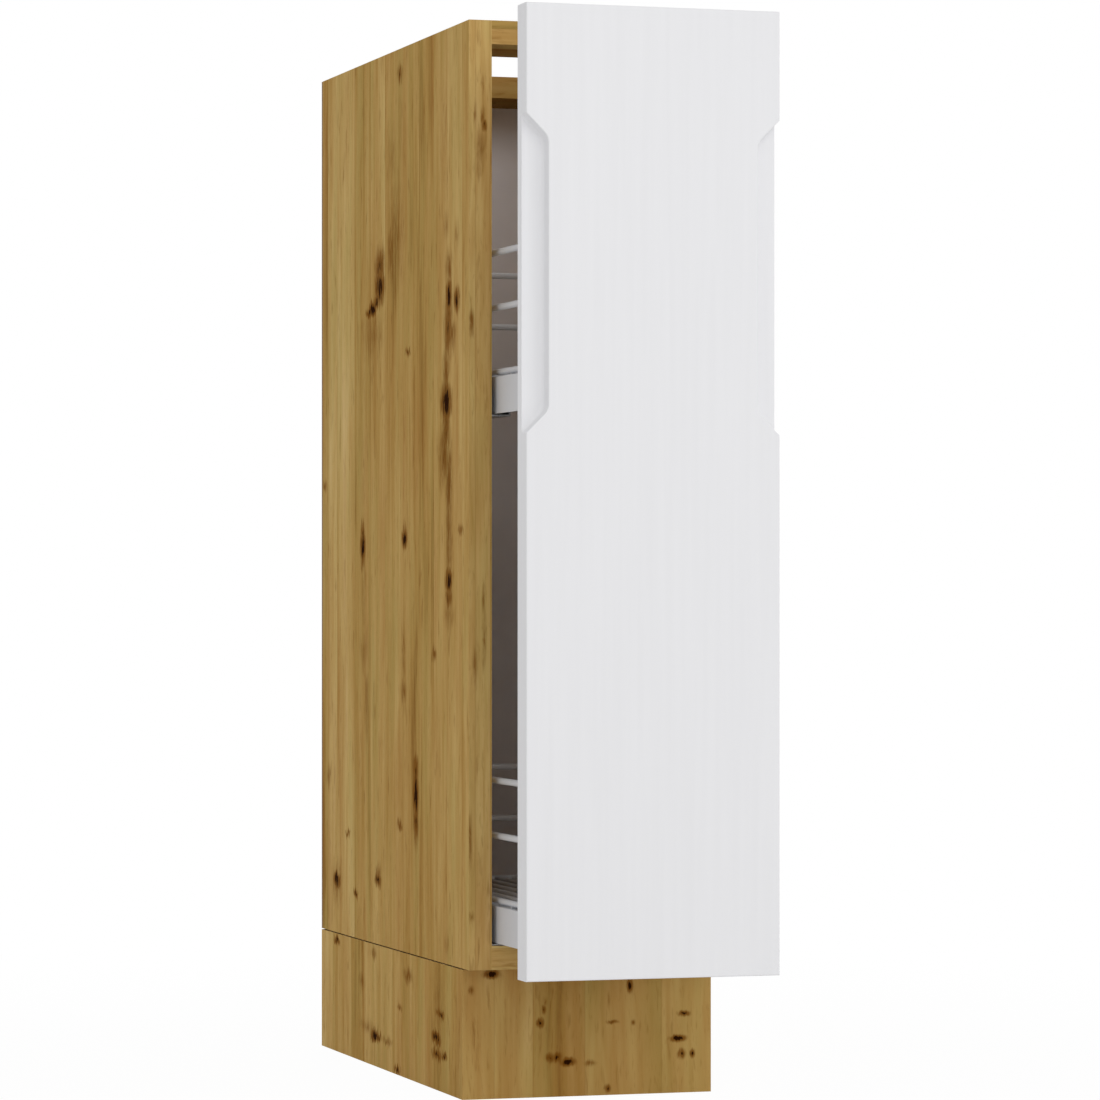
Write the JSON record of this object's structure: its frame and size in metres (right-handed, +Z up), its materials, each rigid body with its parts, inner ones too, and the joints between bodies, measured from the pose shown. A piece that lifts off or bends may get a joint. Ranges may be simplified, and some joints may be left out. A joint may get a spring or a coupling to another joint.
{
  "type": "pull-out pantry cabinet",
  "caption": "Narrow oak-decor base cabinet on a plinth with a white front that slides out, carrying wire baskets on telescopic runners.",
  "frame": {"origin": "on the floor, under the middle of the whole cabinet's box with the pull-out at its stored opening of 121 mm", "axes": "+Z up, the front faces -Y, +X to the right when facing the front"},
  "size_m": [0.2, 0.593, 0.82],
  "materials": {
    "oak_board": "oak decor on chipboard, matt",
    "oak_edging": "oak decor edging, matt",
    "white_front": "white matt foil on fibreboard",
    "white_hardboard": "pale lacquered hardboard",
    "white_steel": "white powder coat",
    "zinc_steel": "bright zinc plate",
    "cage_plastic": "pale grey moulded",
    "black_plastic": "black moulded",
    "white_plastic": "white moulded",
    "clear_pad": "clear soft pad",
    "beech": "plain beech"
  },
  "bodies": {
    "carcass": {"side_panel_left": "oak_board", "side_panel_right": "oak_board", "bottom_panel": "oak_board", "top_rail_front": "oak_board", "top_rail_rear": "oak_board", "plinth_front": "oak_board", "plinth_side_left": "oak_board", "plinth_side_right": "oak_board", "edge_bands": "oak_edging", "back_panel": "white_hardboard", "runner_fixed_lower_left": "zinc_steel", "runner_fixed_lower_right": "zinc_steel", "runner_fixed_upper_left": "zinc_steel", "runner_fixed_upper_right": "zinc_steel", "runner_screws": "zinc_steel", "leg_screws": "zinc_steel", "cam_locks": "zinc_steel", "cam_bolts": "zinc_steel", "back_panel_pins": "zinc_steel", "leg_socket_front_left": "black_plastic", "leg_socket_front_right": "black_plastic", "leg_socket_rear_left": "black_plastic", "leg_socket_rear_right": "black_plastic", "plinth_clips": "black_plastic", "plinth_corner_angles": "black_plastic", "wood_dowels": "beech"},
    "pullout": {"front_panel": "white_front", "front_screws": "zinc_steel", "guard_clips": "white_plastic", "bumper_pads": "clear_pad", "tray_rivets": "zinc_steel", "tray_side_lower_left": "white_steel", "tray_side_lower_right": "white_steel", "tray_side_upper_left": "white_steel", "tray_side_upper_right": "white_steel", "tray_cross_bars_lower": "white_steel", "tray_cross_bars_upper": "white_steel", "basket_floor_lower": "white_steel", "basket_floor_upper": "white_steel", "basket_guard_lower": "white_steel", "basket_guard_upper": "white_steel", "runner_moving_lower_left": "zinc_steel", "runner_moving_lower_right": "zinc_steel", "runner_moving_upper_left": "zinc_steel", "runner_moving_upper_right": "zinc_steel"},
    "middle_rails": {"runner_middle_lower_left": "zinc_steel", "runner_middle_lower_right": "zinc_steel", "runner_middle_upper_left": "zinc_steel", "runner_middle_upper_right": "zinc_steel"},
    "fixed_side_rollers": {"roller_cages_fixed": "cage_plastic", "rollers_fixed": "zinc_steel"},
    "tray_side_rollers": {"roller_cages_moving": "cage_plastic", "rollers_moving": "zinc_steel"},
    "foot_front_left": {"leg_foot_front_left": "black_plastic"},
    "foot_front_right": {"leg_foot_front_right": "black_plastic"},
    "foot_rear_left": {"leg_foot_rear_left": "black_plastic"},
    "foot_rear_right": {"leg_foot_rear_right": "black_plastic"}
  },
  "joints": [
    {"name": "pullout_slide", "type": "slide", "parent": "carcass", "child": "pullout", "axis": [0, -1, 0], "range_m": [-0.119, 0.261]},
    {"name": "middle_slide", "type": "slide", "parent": "carcass", "child": "middle_rails", "axis": [0, -1, 0], "range_m": [-0.0596, 0.1306]},
    {"name": "fixed_side_roller_slide", "type": "slide", "parent": "carcass", "child": "fixed_side_rollers", "axis": [0, -1, 0], "range_m": [-0.0298, 0.0653]},
    {"name": "tray_side_roller_slide", "type": "slide", "parent": "carcass", "child": "tray_side_rollers", "axis": [0, -1, 0], "range_m": [-0.0893, 0.1958]},
    {"name": "foot_front_left_level", "type": "slide", "parent": "carcass", "child": "foot_front_left", "axis": [0, 0, -1], "range_m": [-0.01, 0.02]},
    {"name": "foot_front_right_level", "type": "slide", "parent": "carcass", "child": "foot_front_right", "axis": [0, 0, -1], "range_m": [-0.01, 0.02]},
    {"name": "foot_rear_left_level", "type": "slide", "parent": "carcass", "child": "foot_rear_left", "axis": [0, 0, -1], "range_m": [-0.01, 0.02]},
    {"name": "foot_rear_right_level", "type": "slide", "parent": "carcass", "child": "foot_rear_right", "axis": [0, 0, -1], "range_m": [-0.01, 0.02]}
  ],
  "couplings": [
    {"joint": "middle_slide", "follows": "pullout_slide", "ratio": 0.5},
    {"joint": "fixed_side_roller_slide", "follows": "pullout_slide", "ratio": 0.25},
    {"joint": "tray_side_roller_slide", "follows": "pullout_slide", "ratio": 0.75}
  ]
}
